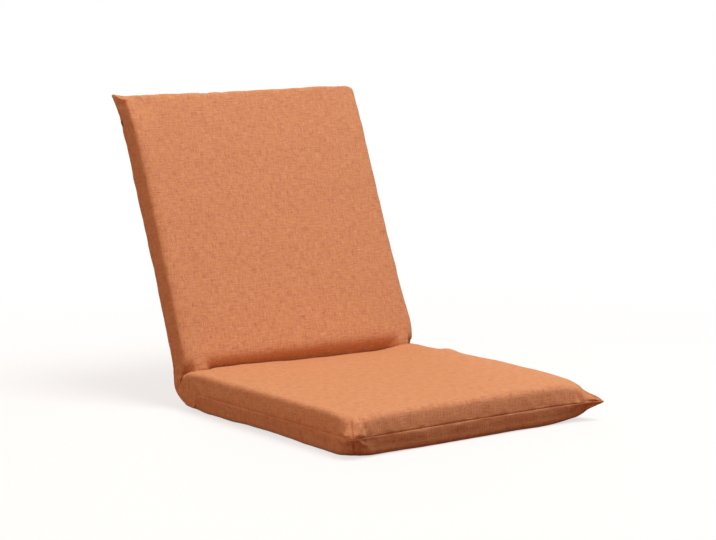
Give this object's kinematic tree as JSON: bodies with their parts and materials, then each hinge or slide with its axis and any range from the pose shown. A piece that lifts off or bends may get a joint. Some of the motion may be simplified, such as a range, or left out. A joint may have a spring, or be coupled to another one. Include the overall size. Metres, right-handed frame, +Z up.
{
  "type": "folding floor chair",
  "caption": "Legless folding floor chair: padded seat on the floor and a padded reclining back on two hidden ratchet hinges, in a zipped linen cover.",
  "frame": {"origin": "middle of the flat underside of the seat, on the floor", "axes": "+Z up, -Y the way the sitter faces, +X to the sitter's left"},
  "size_m": [0.4938, 0.6834, 0.5187],
  "materials": {
    "linen_cover": "woven linen-look upholstery cloth, matt",
    "foam": "open-cell polyurethane foam",
    "elastic": "woven elastic webbing",
    "painted_tube": "black powder coat on steel tube",
    "zinc_plate": "zinc-plated stamped steel",
    "rivet_steel": "bright steel",
    "zip_metal": "dark lacquered zip metal",
    "zip_tape": "woven zip tape, dyed to the cover"
  },
  "bodies": {
    "seat": {"seat_cover_top": "linen_cover", "seat_cover_base": "linen_cover", "seat_frame_tube": "painted_tube", "seat_cross_tube_1": "painted_tube", "seat_cross_tube_2": "painted_tube", "seat_elastic_band_1": "elastic", "seat_elastic_band_2": "elastic", "seat_elastic_band_3": "elastic", "seat_foam_top": "foam", "seat_foam_base": "foam", "right_hinge_gear_plate": "zinc_plate", "right_hinge_seat_rivet_1": "rivet_steel", "right_hinge_seat_rivet_2": "rivet_steel", "left_hinge_gear_plate": "zinc_plate", "left_hinge_seat_rivet_1": "rivet_steel", "left_hinge_seat_rivet_2": "rivet_steel", "crease_cover": "linen_cover", "bend_cover": "linen_cover", "bend_foam": "foam"},
    "back": {"back_cover_front": "linen_cover", "back_cover_rear": "linen_cover", "back_frame_tube": "painted_tube", "back_cross_tube_1": "painted_tube", "back_cross_tube_2": "painted_tube", "back_elastic_band_1": "elastic", "back_elastic_band_2": "elastic", "back_elastic_band_3": "elastic", "back_foam_front": "foam", "back_foam_rear": "foam", "right_hinge_cheek_outer": "zinc_plate", "right_hinge_cheek_inner": "zinc_plate", "right_hinge_pivot_rivet": "rivet_steel", "right_hinge_pawl_pin": "rivet_steel", "right_hinge_spacer": "rivet_steel", "right_hinge_pawl_spring": "rivet_steel", "right_hinge_back_rivet_1": "rivet_steel", "right_hinge_back_rivet_2": "rivet_steel", "left_hinge_cheek_outer": "zinc_plate", "left_hinge_cheek_inner": "zinc_plate", "left_hinge_pivot_rivet": "rivet_steel", "left_hinge_pawl_pin": "rivet_steel", "left_hinge_spacer": "rivet_steel", "left_hinge_pawl_spring": "rivet_steel", "left_hinge_back_rivet_1": "rivet_steel", "left_hinge_back_rivet_2": "rivet_steel", "zip_tape_front": "zip_tape", "zip_tape_rear": "zip_tape", "zip_coil": "zip_metal"},
    "right_pawl": {"right_hinge_pawl": "zinc_plate"},
    "left_pawl": {"left_hinge_pawl": "zinc_plate"},
    "slider": {"zip_slider": "zip_metal"},
    "pull": {"zip_pull": "zip_metal"}
  },
  "joints": [
    {"name": "back_recline", "type": "hinge", "parent": "seat", "child": "back", "pos_m": [0, 0.24335, 0.047], "axis": [-1, 0, 0], "range_deg": [-94, 68.4], "deforming": ["crease_cover", "bend_cover", "bend_foam"]},
    {"name": "right_pawl_swing", "type": "hinge", "parent": "back", "child": "right_pawl", "pos_m": [-0.219, 0.26993, 0.03539], "axis": [1, 0, 0], "range_deg": [0, 8], "stiffness_Nm_per_rad": 0.05, "springref_deg": -11.46, "deforming": ["right_hinge_pawl_spring"]},
    {"name": "left_pawl_swing", "type": "hinge", "parent": "back", "child": "left_pawl", "pos_m": [0.219, 0.26993, 0.03539], "axis": [1, 0, 0], "range_deg": [0, 8], "stiffness_Nm_per_rad": 0.05, "springref_deg": -11.46, "deforming": ["left_hinge_pawl_spring"]},
    {"name": "zip_slide", "type": "slide", "parent": "back", "child": "slider", "axis": [1, 0, 0], "range_m": [0, 0.25]},
    {"name": "zip_pull_flip", "type": "hinge", "parent": "slider", "child": "pull", "pos_m": [-0.088, 0.44498, 0.51587], "axis": [0, -0.8871, 0.4615], "range_deg": [0, 170]}
  ]
}
